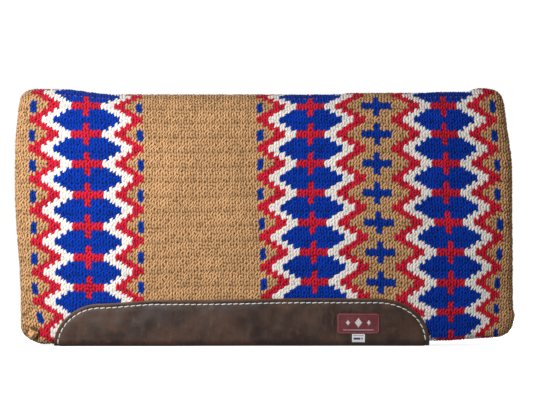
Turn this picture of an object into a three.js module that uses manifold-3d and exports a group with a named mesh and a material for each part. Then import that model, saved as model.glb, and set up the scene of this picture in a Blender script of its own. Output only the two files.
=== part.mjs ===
// A western saddle pad, 32 by 34 inches and 1 inch thick, folded over its spine as it hangs
// on a rack or lies on a back. Units are millimetres. X runs along the spine, with the withers
// end at -X and the rear end at +X. The near side faces -Y, the off side +Y, and Z is up.
// The origin is under the middle of the pad, on the plane that both wear leathers stand on.
import * as THREE from "three";
import { mergeVertices } from "three/addons/utils/BufferGeometryUtils.js";
import Module from "manifold-3d";

const wasm = await Module();
wasm.setup();

// ---- driving dimensions ----
const GAP = 0.3; // between pieces that touch in the real pad
const PAD_LENGTH = 813; // 32 in, withers edge to rear edge
const SIDE_DROP = 432; // 17 in of pad on each side of the spine
const WOVEN = 6; // woven wool top
const FOAM = 12; // foam core
const FELT = 6.4; // felt liner
const THICKNESS = WOVEN + GAP + FOAM + GAP + FELT; // 25 mm, 1 in
const RIDGE_RADIUS = 42; // outside of the fold
const RIDGE_ANGLE = THREE.MathUtils.degToRad(78); // where the fold ends and the flat side begins
const CORE_INSET = WOVEN; // wool wrapped round the foam's edge
const LINER_INSET = 14; // turned-in wool hem round the liner

// The ends of the pad curl up a little, between these places along X.
const RISE_FRONT = 8;
const RISE_REAR = 10;
const FRONT_RISE_FROM = -230;
const FRONT_RISE_TO = -360;
const REAR_RISE_FROM = 210;
const REAR_RISE_TO = 350;

const FRONT_TOP_TUCK = 5; // how far the withers edge draws in near the spine
const FRONT_BOTTOM_TUCK = 11; // and towards its lower corner
const REAR_TOP_TUCK = 14; // how far the rear edge draws in near the spine

// Corner radii of the side outline, then of the layers' bottom edges.
const BOTTOM_CORNER = 24;
const FRONT_TOP_CORNER = 30;
const REAR_TOP_CORNER = 24;
const WOVEN_OUTER_EDGE = 9;
const WOVEN_INNER_EDGE = 6;
const FOAM_EDGE = 3;
const FELT_EDGE = 1;
const SEAM_EDGE = 0.3;

const LEATHER = 2.2;
const LEATHER_STAND_OFF = 0.6; // the wool under the leather isn't quite flat
const LEATHER_FRONT = -343;
const LEATHER_REAR = 270;
const LEATHER_HEIGHT = 74;
const LEATHER_FOOT = 3; // where its curved ends begin
const LEATHER_OUTER_BEND = 11.5; // round the pad's bottom edge, outside and under the pad
const LEATHER_INNER_BEND = 8.2;
const FRONT_SWEEP = { along: 68, up: 67 }; // the quarter curves at its ends
const REAR_SWEEP = { along: 65, up: 71 };
const FRONT_SHOULDER = { x: -240, below: 2 }; // the top edge dips a little before the front curve
const FULL_HEIGHT_FROM = -195;
const STITCH_INSET = 6.5;
const STITCH_ENDS_ABOVE = 13; // the row stops just above the rounded bottom edge
const THREAD_RADIUS = 0.6;

const LABEL = { x: 154, z: 35, width: 70, height: 35, corner: 5, thick: 1.2, seamInset: 2.2 };
const LABEL_THREAD_RADIUS = 0.4;
const TAG = { width: 22.5, height: 12.6, corner: 1, thick: 1.0 };
const KNOT = { x: -378.5, radius: 8, aboveEdge: 8.5, proud: 3 };
const SPINE_ROW_ARC = 22; // each stitched row's distance from the ridge, round the fold
const SPINE_ROW_FRONT = -370;
const SPINE_ROW_REAR = 366;
const HEM_SEAM_INSET = 19; // the seam that holds the hem to the pad, on the underside
const HEM_SEAM_WIDTH = 1.4;
const HEM_SEAM_PROUD = 1;

const FOLD_CLOSES = 7; // degrees that each side can swing inwards from rest
const FOLD_MARGIN = 0.5; // degrees of extra room at that limit

// ---- values worked out from them ----
const HALF_LENGTH = PAD_LENGTH / 2;
const WOOL_BOTTOM = LEATHER + GAP;
const RIDGE_ARC = RIDGE_RADIUS * RIDGE_ANGLE;
const SIDE_ARC = SIDE_DROP - RIDGE_ARC;
const SIDE_RADIUS = SIDE_ARC / (Math.PI / 2 - RIDGE_ANGLE); // the side ends vertical
const CENTRE_STEP = SIDE_RADIUS - RIDGE_RADIUS;
const SIDE_CENTRE_OUT = -CENTRE_STEP * Math.sin(RIDGE_ANGLE);
const RIDGE_CENTRE_Z = WOOL_BOTTOM + CENTRE_STEP * Math.cos(RIDGE_ANGLE);
const RIDGE_TOP = RIDGE_CENTRE_Z + RIDGE_RADIUS;
const SIDE_CENTRE_Z = WOOL_BOTTOM;

const RIDGE_FACETS = 7; // on each side of the ridge
const SIDE_FACETS = 5;
const HINGE_ANGLE = Math.PI / 4; // round the fold
const HINGE_CLEAR = 0.4;
const HINGE = {
  out: (RIDGE_RADIUS + HINGE_CLEAR) * Math.sin(HINGE_ANGLE),
  z: RIDGE_CENTRE_Z + (RIDGE_RADIUS + HINGE_CLEAR) * Math.cos(HINGE_ANGLE) + RISE_REAR,
};

// ---- shape helpers ----
const ease = (t) => THREE.MathUtils.smoothstep(t, 0, 1);

// How far the pad's ends rise above its middle.
function rise(x) {
  const front = (FRONT_RISE_FROM - x) / (FRONT_RISE_FROM - FRONT_RISE_TO);
  const rear = (x - REAR_RISE_FROM) / (REAR_RISE_TO - REAR_RISE_FROM);
  return RISE_FRONT * ease(front) + RISE_REAR * ease(rear);
}

const frontEdge = (z) =>
  -HALF_LENGTH + FRONT_TOP_TUCK * ease((z - 330) / 60) + FRONT_BOTTOM_TUCK * ease((270 - z) / 200);
const rearEdge = (z) => HALF_LENGTH - REAR_TOP_TUCK * ease((z - 270) / 130);

// A point of one side's section: arc is measured from the ridge round the outside,
// depth inwards from the outside. Returns the distance from the middle plane, and the height.
function sectionPoint(arc, depth) {
  const onRidge = arc <= RIDGE_ARC;
  const angle = onRidge ? arc / RIDGE_RADIUS : RIDGE_ANGLE + (arc - RIDGE_ARC) / SIDE_RADIUS;
  const radius = (onRidge ? RIDGE_RADIUS : SIDE_RADIUS) - depth;
  const out = (onRidge ? 0 : SIDE_CENTRE_OUT) + radius * Math.sin(angle);
  const z = (onRidge ? RIDGE_CENTRE_Z : SIDE_CENTRE_Z) + radius * Math.cos(angle);
  return new THREE.Vector2(out, z);
}

// One side of a surface at this depth, from the ridge down to its rounded bottom edge.
// turn is +1 where the bottom corner turns inwards, and -1 where it turns outwards.
function halfProfile(depth, bottom, corner, turn, cornerSteps) {
  const points = [];
  for (let i = 0; i <= RIDGE_FACETS; i++) {
    points.push(sectionPoint((RIDGE_ARC * i) / RIDGE_FACETS, depth));
  }
  for (let i = 1; i < SIDE_FACETS; i++) {
    points.push(sectionPoint(RIDGE_ARC + (SIDE_ARC * i) / SIDE_FACETS, depth));
  }
  const out = sectionPoint(SIDE_DROP, depth).x;
  for (let i = 0; i <= cornerSteps; i++) {
    const a = (Math.PI / 2) * (i / cornerSteps);
    const x = out - turn * corner * (1 - Math.cos(a));
    points.push(new THREE.Vector2(x, bottom + corner * (1 - Math.sin(a))));
  }
  return points;
}

// The whole folded section of a layer between two depths.
function layerShape({ outer, inner, bottom, outerCorner, innerCorner, cornerSteps = 3 }) {
  const outside = halfProfile(outer, bottom, outerCorner, 1, cornerSteps);
  const inside = halfProfile(inner, bottom, innerCorner, -1, cornerSteps);
  const mirrored = (points) => points.slice(1).map((p) => new THREE.Vector2(-p.x, p.y));
  return new THREE.Shape([
    ...mirrored(outside).reverse(),
    ...outside,
    ...inside.toReversed(),
    ...mirrored(inside),
  ]);
}

// ---- from geometry to solids and back ----
function solidOf(geometry) {
  const bare = geometry.clone();
  bare.deleteAttribute("normal");
  bare.deleteAttribute("uv");
  const merged = mergeVertices(bare, 1e-4);
  const mesh = new wasm.Mesh({
    numProp: 3,
    vertProperties: new Float32Array(merged.attributes.position.array),
    triVerts: new Uint32Array(merged.index.array),
  });
  return new wasm.Manifold(mesh);
}

function geometryOf(solid) {
  const { vertProperties, triVerts } = solid.getMesh();
  const geometry = new THREE.BufferGeometry();
  geometry.setAttribute("position", new THREE.BufferAttribute(vertProperties, 3));
  geometry.setIndex(new THREE.BufferAttribute(triVerts, 1));
  geometry.computeVertexNormals();
  return geometry;
}

// A YZ shape carried along X through the given places, following the pad's rise.
function alongSpine(shape, places, lift = rise) {
  const geometry = new THREE.ExtrudeGeometry(shape, {
    steps: places.length - 1,
    depth: places.length - 1,
    bevelEnabled: false,
  });
  const p = geometry.attributes.position;
  for (let i = 0; i < p.count; i++) {
    const x = places[Math.round(p.getZ(i))];
    p.setXYZ(i, x, p.getX(i), p.getY(i) + lift(x));
  }
  return solidOf(geometry);
}

const level = () => 0;

function steps(from, to, count) {
  return Array.from({ length: count + 1 }, (_, i) => from + ((to - from) * i) / count);
}

// The places along X where the rise needs a new facet, between two ends.
function places(from, to) {
  const inner = [
    ...steps(FRONT_RISE_TO, FRONT_RISE_FROM, 4),
    ...steps(REAR_RISE_FROM, REAR_RISE_TO, 4),
  ];
  return [from, ...inner.filter((x) => x > from + 1 && x < to - 1), to];
}

// An XZ shape carried across the whole pad along Y.
const ACROSS = 300;
function acrossPad(shape) {
  const geometry = new THREE.ExtrudeGeometry(shape, { depth: 2 * ACROSS, bevelEnabled: false });
  geometry.rotateX(Math.PI / 2);
  geometry.translate(0, ACROSS, 0);
  return solidOf(geometry);
}

// A YZ section carried level along X, far past both ends.
const FAR = 500;
const pastEnds = (points) => alongSpine(new THREE.Shape(points), [-FAR, FAR], level);

// ---- outlines seen from the side ----
function arcPoints(cx, cz, rx, rz, from, to, count) {
  return steps(from, to, count).map((degrees) => {
    const a = THREE.MathUtils.degToRad(degrees);
    return new THREE.Vector2(cx + rx * Math.cos(a), cz + rz * Math.sin(a));
  });
}

// The pad's side outline, drawn in by an inset: rounded ends, open above and below.
function padOutline(inset) {
  const clear = 40;
  const sliver = 0.2;
  const ends = [
    { edge: frontEdge, sign: 1, lift: RISE_FRONT, topCorner: FRONT_TOP_CORNER },
    { edge: rearEdge, sign: -1, lift: RISE_REAR, topCorner: REAR_TOP_CORNER },
  ].map(({ edge, sign, lift, topCorner }) => {
    const low = WOOL_BOTTOM + lift + inset - sliver;
    const high = RIDGE_TOP + lift - inset + sliver;
    const rLow = BOTTOM_CORNER - inset;
    const rHigh = topCorner - inset;
    const at = (z) => edge(z) + sign * inset;
    const turn = (degrees) => (sign > 0 ? degrees : 180 - degrees);
    const lowX = at(low + rLow) + sign * rLow;
    const highX = at(high - rHigh) + sign * rHigh;
    return [
      new THREE.Vector2(lowX, low - clear),
      ...arcPoints(lowX, low + rLow, rLow, rLow, turn(270), turn(180), 4),
      ...steps(low + rLow, high - rHigh, 7).slice(1, -1).map((z) => new THREE.Vector2(at(z), z)),
      ...arcPoints(highX, high - rHigh, rHigh, rHigh, turn(180), turn(90), 4),
      new THREE.Vector2(highX, high + clear),
    ];
  });
  return acrossPad(new THREE.Shape([...ends[0], ...ends[1].reverse()]));
}

// The wear leather's upper edge, drawn in by an inset, from its front foot to its rear foot.
const SWEEP_FACETS = 8;
function leatherEdge(inset) {
  const sweep = (x, { along, up }, from, to) =>
    arcPoints(x, LEATHER_FOOT, along - inset, up - inset, from, to, SWEEP_FACETS);
  return [
    ...sweep(LEATHER_FRONT + FRONT_SWEEP.along, FRONT_SWEEP, 180, 90),
    new THREE.Vector2(FRONT_SHOULDER.x, LEATHER_HEIGHT - FRONT_SHOULDER.below - inset),
    new THREE.Vector2(FULL_HEIGHT_FROM, LEATHER_HEIGHT - inset),
    ...sweep(LEATHER_REAR - REAR_SWEEP.along, REAR_SWEEP, 90, 0),
  ];
}

// ---- materials ----
const finish = (color, roughness, metalness = 0) =>
  new THREE.MeshStandardMaterial({ color, roughness, metalness });
const MATERIALS = {
  wool: finish(0xbb9063, 0.95),
  foam: finish(0x4a4c50, 0.9),
  felt: finish(0xb9b0a0, 0.98),
  leather: finish(0x493a33, 0.6),
  thread: finish(0xd8d4c6, 0.8),
  label: finish(0x6b3236, 0.55),
  labelThread: finish(0x96606a, 0.8),
  ribbon: finish(0xe9ebee, 0.7),
};

function piece(name, geometry, material) {
  const mesh = new THREE.Mesh(geometry, MATERIALS[material]);
  mesh.name = name;
  return mesh;
}

// ---- the layers, whole ----
const SLAB_OVERRUN = 4; // cut off by the outline
const SLAB_ENDS = places(-HALF_LENGTH - SLAB_OVERRUN, HALF_LENGTH + SLAB_OVERRUN);
const layer = (options, inset) =>
  alongSpine(layerShape(options), SLAB_ENDS).intersect(padOutline(inset));

function wovenTop() {
  const slab = layer(
    {
      outer: 0,
      inner: THICKNESS,
      bottom: WOOL_BOTTOM,
      outerCorner: WOVEN_OUTER_EDGE,
      innerCorner: WOVEN_INNER_EDGE,
    },
    0,
  );
  const coreRoom = layer(
    {
      outer: WOVEN,
      inner: WOVEN + FOAM + 2 * GAP,
      bottom: WOOL_BOTTOM + CORE_INSET,
      outerCorner: FOAM_EDGE,
      innerCorner: FOAM_EDGE,
      cornerSteps: 1,
    },
    CORE_INSET,
  );
  const linerRoom = layer(
    {
      outer: THICKNESS - FELT - GAP,
      inner: THICKNESS + 1,
      bottom: WOOL_BOTTOM + LINER_INSET,
      outerCorner: FELT_EDGE,
      innerCorner: FELT_EDGE,
      cornerSteps: 1,
    },
    LINER_INSET,
  );
  return slab.subtract(coreRoom).subtract(linerRoom);
}

const foamCore = () =>
  layer(
    {
      outer: WOVEN + GAP,
      inner: WOVEN + GAP + FOAM,
      bottom: WOOL_BOTTOM + CORE_INSET + GAP,
      outerCorner: FOAM_EDGE,
      innerCorner: FOAM_EDGE,
      cornerSteps: 1,
    },
    CORE_INSET + GAP,
  );

const feltLiner = () =>
  layer(
    {
      outer: THICKNESS - FELT,
      inner: THICKNESS,
      bottom: WOOL_BOTTOM + LINER_INSET + GAP,
      outerCorner: FELT_EDGE,
      innerCorner: FELT_EDGE,
      cornerSteps: 1,
    },
    LINER_INSET + GAP,
  );

// One vertical seam on the underside, near an end of the pad.
function hemSeam(sign) {
  const edge = sign * (HALF_LENGTH - HEM_SEAM_INSET);
  const shape = layerShape({
    outer: THICKNESS + GAP,
    inner: THICKNESS + GAP + HEM_SEAM_PROUD,
    bottom: WOOL_BOTTOM + HEM_SEAM_INSET,
    outerCorner: SEAM_EDGE,
    innerCorner: SEAM_EDGE,
    cornerSteps: 1,
  });
  return alongSpine(shape, [edge - HEM_SEAM_WIDTH / 2, edge + HEM_SEAM_WIDTH / 2]);
}

function wearLeathers() {
  const outside = layerShape({
    outer: -LEATHER_STAND_OFF - LEATHER,
    inner: THICKNESS + GAP + LEATHER,
    bottom: 0,
    outerCorner: LEATHER_OUTER_BEND,
    innerCorner: LEATHER_INNER_BEND,
  });
  const inside = layerShape({
    outer: -LEATHER_STAND_OFF,
    inner: THICKNESS + GAP,
    bottom: LEATHER,
    outerCorner: LEATHER_OUTER_BEND - LEATHER + 0.1,
    innerCorner: LEATHER_INNER_BEND - LEATHER + 0.1,
  });
  const ends = [-HALF_LENGTH, HALF_LENGTH];
  const wrap = alongSpine(outside, ends, level).subtract(alongSpine(inside, ends, level));
  const below = -20;
  const outline = new THREE.Shape([
    new THREE.Vector2(LEATHER_FRONT, below),
    ...leatherEdge(0),
    new THREE.Vector2(LEATHER_REAR, below),
  ]);
  return wrap.intersect(acrossPad(outline));
}

// ---- splitting the folded layers at the two fold lines ----
const V = (y, z) => new THREE.Vector2(y, z);

function spineWedge() {
  const high = RIDGE_TOP + 60;
  const meet = HINGE.z - HINGE.out; // where the two planes cross under the ridge
  return pastEnds([V(-HINGE.out, HINGE.z), V(0, meet), V(HINGE.out, HINGE.z), V(60, high), V(-60, high)]);
}

// side is -1 for the near side and +1 for the off side.
function sideWedge(side) {
  const lean = Math.PI / 2 - HINGE_ANGLE + THREE.MathUtils.degToRad(FOLD_CLOSES + FOLD_MARGIN);
  const meet = HINGE.z - HINGE.out * Math.tan(lean);
  const points = [
    V(side * HINGE.out, HINGE.z),
    V(0, meet),
    V(0, -60),
    V(side * ACROSS, -60),
    V(side * ACROSS, HINGE.z),
  ];
  return pastEnds(side < 0 ? points : points.reverse());
}

// ---- small pieces ----
function knotGeometry(side, radius) {
  const z = WOOL_BOTTOM + RISE_FRONT + KNOT.aboveEdge;
  const y = side * (sectionPoint(SIDE_DROP, 0).x + KNOT.proud);
  return new THREE.IcosahedronGeometry(radius, 1).translate(KNOT.x, y, z);
}

function threadRow(side) {
  const centre = sectionPoint(SPINE_ROW_ARC, -GAP - THREAD_RADIUS);
  const circle = new THREE.Path().absarc(side * centre.x, centre.y, THREAD_RADIUS, 0, 2 * Math.PI);
  const shape = new THREE.Shape(circle.getPoints(6).slice(0, -1));
  return geometryOf(alongSpine(shape, places(SPINE_ROW_FRONT, SPINE_ROW_REAR)));
}

// A round thread laid along a path.
function thread(path, radius, count) {
  const circle = new THREE.Path().absarc(0, 0, radius, 0, 2 * Math.PI);
  const shape = new THREE.Shape(circle.getPoints(5).slice(0, -1));
  return new THREE.ExtrudeGeometry(shape, { extrudePath: path, steps: count, bevelEnabled: false });
}

// The flat outer face of a wear leather: how far out it is at a height.
function leatherFace(z) {
  const depth = -LEATHER_STAND_OFF - LEATHER;
  const top = sectionPoint(RIDGE_ARC + (SIDE_ARC * (SIDE_FACETS - 1)) / SIDE_FACETS, depth);
  const foot = new THREE.Vector2(sectionPoint(SIDE_DROP, depth).x, LEATHER_OUTER_BEND);
  return THREE.MathUtils.mapLinear(z, foot.y, top.y, foot.x, top.x);
}

function leatherStitching(side) {
  const out = (z) => side * (leatherFace(z) + GAP + THREAD_RADIUS);
  const row = leatherEdge(STITCH_INSET).filter((p) => p.y > STITCH_ENDS_ABOVE);
  const points = row.map((p) => new THREE.Vector3(p.x, out(p.y), p.y));
  return thread(new THREE.CatmullRomCurve3(points), THREAD_RADIUS, 48);
}

function roundedRectangle(width, height, corner) {
  const shape = new THREE.Shape();
  const [x, y] = [width / 2, height / 2];
  shape.moveTo(-x + corner, -y);
  shape.lineTo(x - corner, -y).absarc(x - corner, -y + corner, corner, -Math.PI / 2, 0);
  shape.lineTo(x, y - corner).absarc(x - corner, y - corner, corner, 0, Math.PI / 2);
  shape.lineTo(-x + corner, y).absarc(-x + corner, y - corner, corner, Math.PI / 2, Math.PI);
  shape.lineTo(-x, -y + corner).absarc(-x + corner, -y + corner, corner, Math.PI, 1.5 * Math.PI);
  return shape;
}

function plate(width, height, corner, thick) {
  const shape = roundedRectangle(width, height, corner);
  return new THREE.ExtrudeGeometry(shape, { depth: thick, curveSegments: 3, bevelEnabled: false });
}

function labelSeam() {
  const { width, height, corner, seamInset } = LABEL;
  const loop = roundedRectangle(width - 2 * seamInset, height - 2 * seamInset, corner - seamInset);
  const start = 2; // the loop's two ends stay apart
  const points = loop.getSpacedPoints(44).slice(start, -1).map((p) => new THREE.Vector3(p.x, p.y, 0));
  return thread(new THREE.CatmullRomCurve3(points), LABEL_THREAD_RADIUS, 44);
}

// The label, its seam and the ribbon tag under it, standing on the near wear leather.
function labelGroup() {
  const lean = Math.atan2(leatherFace(0) - leatherFace(LEATHER_HEIGHT), LEATHER_HEIGHT);
  const group = new THREE.Group();
  group.position.set(LABEL.x, -leatherFace(LABEL.z), LABEL.z);
  group.rotation.x = Math.PI / 2 - lean;
  const label = piece("maker_label", plate(LABEL.width, LABEL.height, LABEL.corner, LABEL.thick), "label");
  label.position.z = GAP;
  const seam = piece("label_stitching", labelSeam(), "labelThread");
  seam.position.z = GAP + LABEL.thick + GAP + LABEL_THREAD_RADIUS;
  const tag = piece("ribbon_tag", plate(TAG.width, TAG.height, TAG.corner, TAG.thick), "ribbon");
  tag.position.set(0, -(LABEL.height + TAG.height) / 2 - GAP, GAP);
  group.add(label, seam, tag);
  return group;
}

// ---- assembly ----
const wool = wovenTop();
const foam = foamCore();
const felt = feltLiner();
const leathers = wearLeathers();
const seams = { front: hemSeam(-1), rear: hemSeam(1) };

function foldedPieces(prefix, wedge, woolPart) {
  const cut = (solid) => geometryOf(solid.intersect(wedge));
  return [
    piece(`${prefix}_woven_top`, geometryOf(woolPart), "wool"),
    piece(`${prefix}_foam_core`, cut(foam), "foam"),
    piece(`${prefix}_felt_liner`, cut(felt), "felt"),
    piece(`${prefix}_front_hem_seam`, cut(seams.front), "thread"),
    piece(`${prefix}_rear_hem_seam`, cut(seams.rear), "thread"),
  ];
}

function spine() {
  const group = new THREE.Group();
  const wedge = spineWedge();
  group.add(...foldedPieces("spine", wedge, wool.intersect(wedge)));
  group.add(piece("near_spine_stitching", threadRow(-1), "thread"));
  group.add(piece("off_spine_stitching", threadRow(1), "thread"));
  return group;
}

function sidePanel(prefix, side) {
  const group = new THREE.Group();
  const wedge = sideWedge(side);
  const knotRoom = solidOf(knotGeometry(side, KNOT.radius + GAP));
  group.add(...foldedPieces(prefix, wedge, wool.intersect(wedge).subtract(knotRoom)));
  group.add(
    piece(`${prefix}_wear_leather`, geometryOf(leathers.intersect(wedge)), "leather"),
    piece(`${prefix}_leather_stitching`, leatherStitching(side), "thread"),
    piece(`${prefix}_corner_knot`, knotGeometry(side, KNOT.radius), "wool"),
  );
  return group;
}

const pad = new THREE.Group();
const nearSide = sidePanel("near", -1);
nearSide.add(labelGroup());
pad.add(spine(), nearSide, sidePanel("off", 1));

export default pad;
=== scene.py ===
import math
from functools import cache

import bpy
import numpy as np
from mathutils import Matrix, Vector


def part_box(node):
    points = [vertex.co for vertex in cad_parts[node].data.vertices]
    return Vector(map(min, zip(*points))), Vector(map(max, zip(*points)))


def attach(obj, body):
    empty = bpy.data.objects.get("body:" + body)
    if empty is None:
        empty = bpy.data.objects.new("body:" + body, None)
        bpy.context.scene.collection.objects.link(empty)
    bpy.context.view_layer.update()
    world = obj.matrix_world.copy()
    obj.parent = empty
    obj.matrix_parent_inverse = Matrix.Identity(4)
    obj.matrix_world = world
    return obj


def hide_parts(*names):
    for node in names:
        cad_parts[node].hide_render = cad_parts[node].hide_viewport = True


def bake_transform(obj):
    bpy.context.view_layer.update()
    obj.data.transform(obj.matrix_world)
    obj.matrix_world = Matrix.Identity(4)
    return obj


# A western saddle pad standing on its bottom edges, folded over its ridge. Lengths are metres, in the frame
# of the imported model: +X to the rear end of the pad, -Y to the near side, +Z up.

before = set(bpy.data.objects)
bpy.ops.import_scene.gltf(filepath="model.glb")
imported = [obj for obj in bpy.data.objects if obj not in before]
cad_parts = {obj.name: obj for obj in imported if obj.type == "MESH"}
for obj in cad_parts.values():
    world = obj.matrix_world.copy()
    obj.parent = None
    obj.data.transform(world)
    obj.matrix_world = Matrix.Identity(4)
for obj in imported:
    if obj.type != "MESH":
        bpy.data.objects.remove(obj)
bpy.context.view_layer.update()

NEAR, OFF = -1.0, 1.0
SIDES = {"near": NEAR, "off": OFF}
MM = 0.001

# ---- driving sizes, from the frame
wool_low, wool_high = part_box("near_woven_top")
spine_low, spine_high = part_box("spine_woven_top")
leather_low, leather_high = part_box("near_wear_leather")
label_low, label_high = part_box("maker_label")
tag_low, tag_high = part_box("ribbon_tag")
knot_low, knot_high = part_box("near_corner_knot")
felt_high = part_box("near_felt_liner")[1]

HALF_LENGTH = wool_high.x
WOOL_BOTTOM = wool_low.z
WOOL_FACE_AT_BOTTOM = -wool_low.y
THICKNESS = 0.025
SIDE_DROP = 0.432
RIDGE_RADIUS = 0.042
RIDGE_ANGLE = math.radians(78)
RIDGE_SWELL = 0.005
FRONT_RISE = 0.009
REAR_RISE = 0.0045
REAR_HUMP = 0.006

# The section: a round ridge and a long, slightly bowed side, upright at its bottom edge.
RIDGE_ARC = RIDGE_RADIUS * RIDGE_ANGLE
SIDE_RADIUS = (SIDE_DROP - RIDGE_ARC) / (math.pi / 2 - RIDGE_ANGLE)
CENTRE_STEP = SIDE_RADIUS - RIDGE_RADIUS
SIDE_CENTRE_OUT = -CENTRE_STEP * math.sin(RIDGE_ANGLE)
SIDE_CENTRE_Z = WOOL_BOTTOM
RIDGE_CENTRE_Z = WOOL_BOTTOM + CENTRE_STEP * math.cos(RIDGE_ANGLE)

ROLL_RADIUS = THICKNESS / 2
HEM_WIDTH = HALF_LENGTH - felt_high.x
CORNER_RADIUS = 0.026

# The weave: upright floats of yarn, in straight columns a tooth wide. A float leans, and its ends slant past
# the ones above and below it.
TOOTH = 4.65 * MM
ROW = 6.1 * MM
PATTERN_SHIFT = 11.5 * MM
RIDGE_STRETCH = -4.0 * MM
ROWS_IN_REPEAT = 8
PHASE_SHIFT = -0.25
FRONT_COLUMN, MIDDLE_COLUMN, REAR_COLUMN, CROSS_COLUMN = -62, 17, 64, 40
END_SLANT = 0.42
STAGGER = 0.24
LEAST_LEAN, MOST_LEAN = -0.42, 0.72
FLOAT_WIDTH = 0.88
STEPS_PER_TOOTH = 4
STEPS_PER_ROW = 5
FLOAT_HEIGHT = 2.0 * MM
FLOAT_SINK = 1.25 * MM
CREASE_DEPTH = 4.5 * MM


# ---- small maths
def ease(t):
    """A smooth step from 0 at t = 0 to 1 at t = 1."""
    t = np.clip(t, 0.0, 1.0)
    return t * t * (3 - 2 * t)


def ramp(value, start, end):
    """Eases from 0 where the value is start to 1 where it is end."""
    return ease((value - start) / (end - start))


def mound(value, middle, width):
    """A smooth rise to 1 over the middle, nearly gone two widths away from it."""
    return np.exp(-(((value - middle) / width) ** 2))


def random_at(a, b, seed):
    """The same number from 0 to 1 for the same pair of whole numbers."""
    turned = np.sin(a * 127.1 + b * 311.7 + seed * 74.7) * 43758.5453
    return turned - np.floor(turned)


def soft_noise(u, v, seed):
    """Smooth noise from -1 to 1, one blob to each unit of u and v."""
    left, low = np.floor(u), np.floor(v)
    across, up = ease(u - left), ease(v - low)
    lower = random_at(left, low, seed) * (1 - across) + random_at(left + 1, low, seed) * across
    upper = random_at(left, low + 1, seed) * (1 - across) + random_at(left + 1, low + 1, seed) * across
    return 2 * (lower * (1 - up) + upper * up) - 1


# ---- the shape of the pad
def section(arc, depth):
    """How far out and how high a point is, for its arc from the ridge line and depth below the face."""
    arc = np.asarray(arc, float)
    on_ridge = arc <= RIDGE_ARC
    turn = np.where(on_ridge, arc / RIDGE_RADIUS, RIDGE_ANGLE + (arc - RIDGE_ARC) / SIDE_RADIUS)
    radius = np.where(on_ridge, RIDGE_RADIUS, SIDE_RADIUS) - depth
    out = np.where(on_ridge, 0.0, SIDE_CENTRE_OUT) + radius * np.sin(turn)
    high = np.where(on_ridge, RIDGE_CENTRE_Z, SIDE_CENTRE_Z) + radius * np.cos(turn)
    return out, high


def rise(x, arc):
    """How much the ridge stands up over the plain section, most of all at its front and rear ends."""
    front = FRONT_RISE * ramp(x, -0.245, -0.340)
    rear = REAR_RISE * (0.6 * ramp(x, 0.100, 0.160) + 0.4 * ramp(x, 0.260, 0.300))
    rear += REAR_HUMP * ramp(x, 0.332, 0.356)
    return (RIDGE_SWELL + front + rear) * ramp(arc, 0.056, 0.004)


def lift(x, z):
    """The wool's bottom edge climbs towards its corners, past the ends of the leather."""
    front = 1.5 * MM * ramp(x, -0.315, -0.345) + 5.5 * MM * ramp(x, -0.360, -0.390)
    rear = 6.5 * MM * ramp(x, 0.235, 0.280) + 4.0 * MM * ramp(x, 0.290, 0.360)
    rear += 2.5 * MM * ramp(x, 0.358, 0.392)
    return (front + rear) * ramp(z, 0.110, 0)


def tuck(x, z, arc):
    """How far the ends are pulled in, so that the pad's outline isn't a plain rectangle."""
    over_ridge = 3.0 * MM * ramp(arc, 0.045, 0)
    front = over_ridge - 2.0 * MM + 4.0 * MM * ramp(z, 0.330, 0.390) + 11.0 * MM * ramp(z, 0.270, 0.070)
    rear = over_ridge + 10.5 * MM * ramp(z, 0.290, 0.400)
    rear_bulge = 2.8 * MM * mound(z, 0.040, 0.012) * ramp(x, 0.375, 0.405)
    return front * ramp(x, -0.215, -0.405) - rear * ramp(x, 0.215, 0.405) + rear_bulge


def droop(x, arc):
    """The soft ends of the ridge sink a little, which rounds the top corners seen from the side."""
    front, rear = 5.0 * MM * ramp(x, -0.376, -0.406) ** 2, 6.0 * MM * ramp(x, 0.370, 0.406) ** 2
    return (front + rear) * ramp(arc, 0.060, 0)


def waviness(x, arc, side):
    """How far the face stands out of its smooth shape, because it is soft."""
    seed = 3 if side == NEAR else 8
    broad = 1.3 * MM * soft_noise(x / 0.115 + 0.3, arc / 0.095, seed)
    small = 0.55 * MM * soft_noise(x / 0.042, arc / 0.036 + 0.5, seed + 1)
    if side in SLACK:
        broad = 0.4 * broad + slack_at(SLACK[side], x, arc)
    return (broad + small) * ramp(arc, 0, 0.030)


def pad_points(x, arc, depth, side):
    """Points of the pad, from where they are on it when it is spread out flat."""
    out, z = section(arc, depth)
    shallow = np.clip(1 - np.asarray(depth) / THICKNESS, 0, 1)
    out = out + waviness(x, arc, side) * (0.35 + 0.65 * shallow)
    along = x + tuck(x, z, arc)
    z = z + rise(along, arc) + lift(along, z) - droop(x, arc)
    return np.stack([along, side * out, z], axis=-1)


# ---- mesh helpers
def make_mesh(name, points, quads, flip=False):
    """A smooth-shaded mesh object from numpy arrays."""
    points, quads = np.asarray(points, np.float32), np.asarray(quads, np.int32)
    if flip:
        quads = quads[:, ::-1]
    mesh = bpy.data.meshes.new(name)
    mesh.vertices.add(len(points))
    mesh.vertices.foreach_set("co", points.ravel())
    mesh.loops.add(quads.size)
    mesh.loops.foreach_set("vertex_index", quads.ravel())
    mesh.polygons.add(len(quads))
    mesh.polygons.foreach_set("loop_start", np.arange(0, quads.size, 4, dtype=np.int32))
    mesh.polygons.foreach_set("use_smooth", np.ones(len(quads), bool))
    mesh.update(calc_edges=True)
    mesh.validate()
    made = bpy.data.objects.new(name, mesh)
    bpy.context.scene.collection.objects.link(made)
    return made


def set_uv(made, layer, u, v):
    """A UV layer whose coordinates belong to the vertices."""
    mesh = made.data
    corners = np.zeros(len(mesh.loops), np.int32)
    mesh.loops.foreach_get("vertex_index", corners)
    values = np.stack([u[corners], v[corners]], axis=-1).astype(np.float32)
    mesh.uv_layers.new(name=layer).data.foreach_set("uv", values.ravel())


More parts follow.
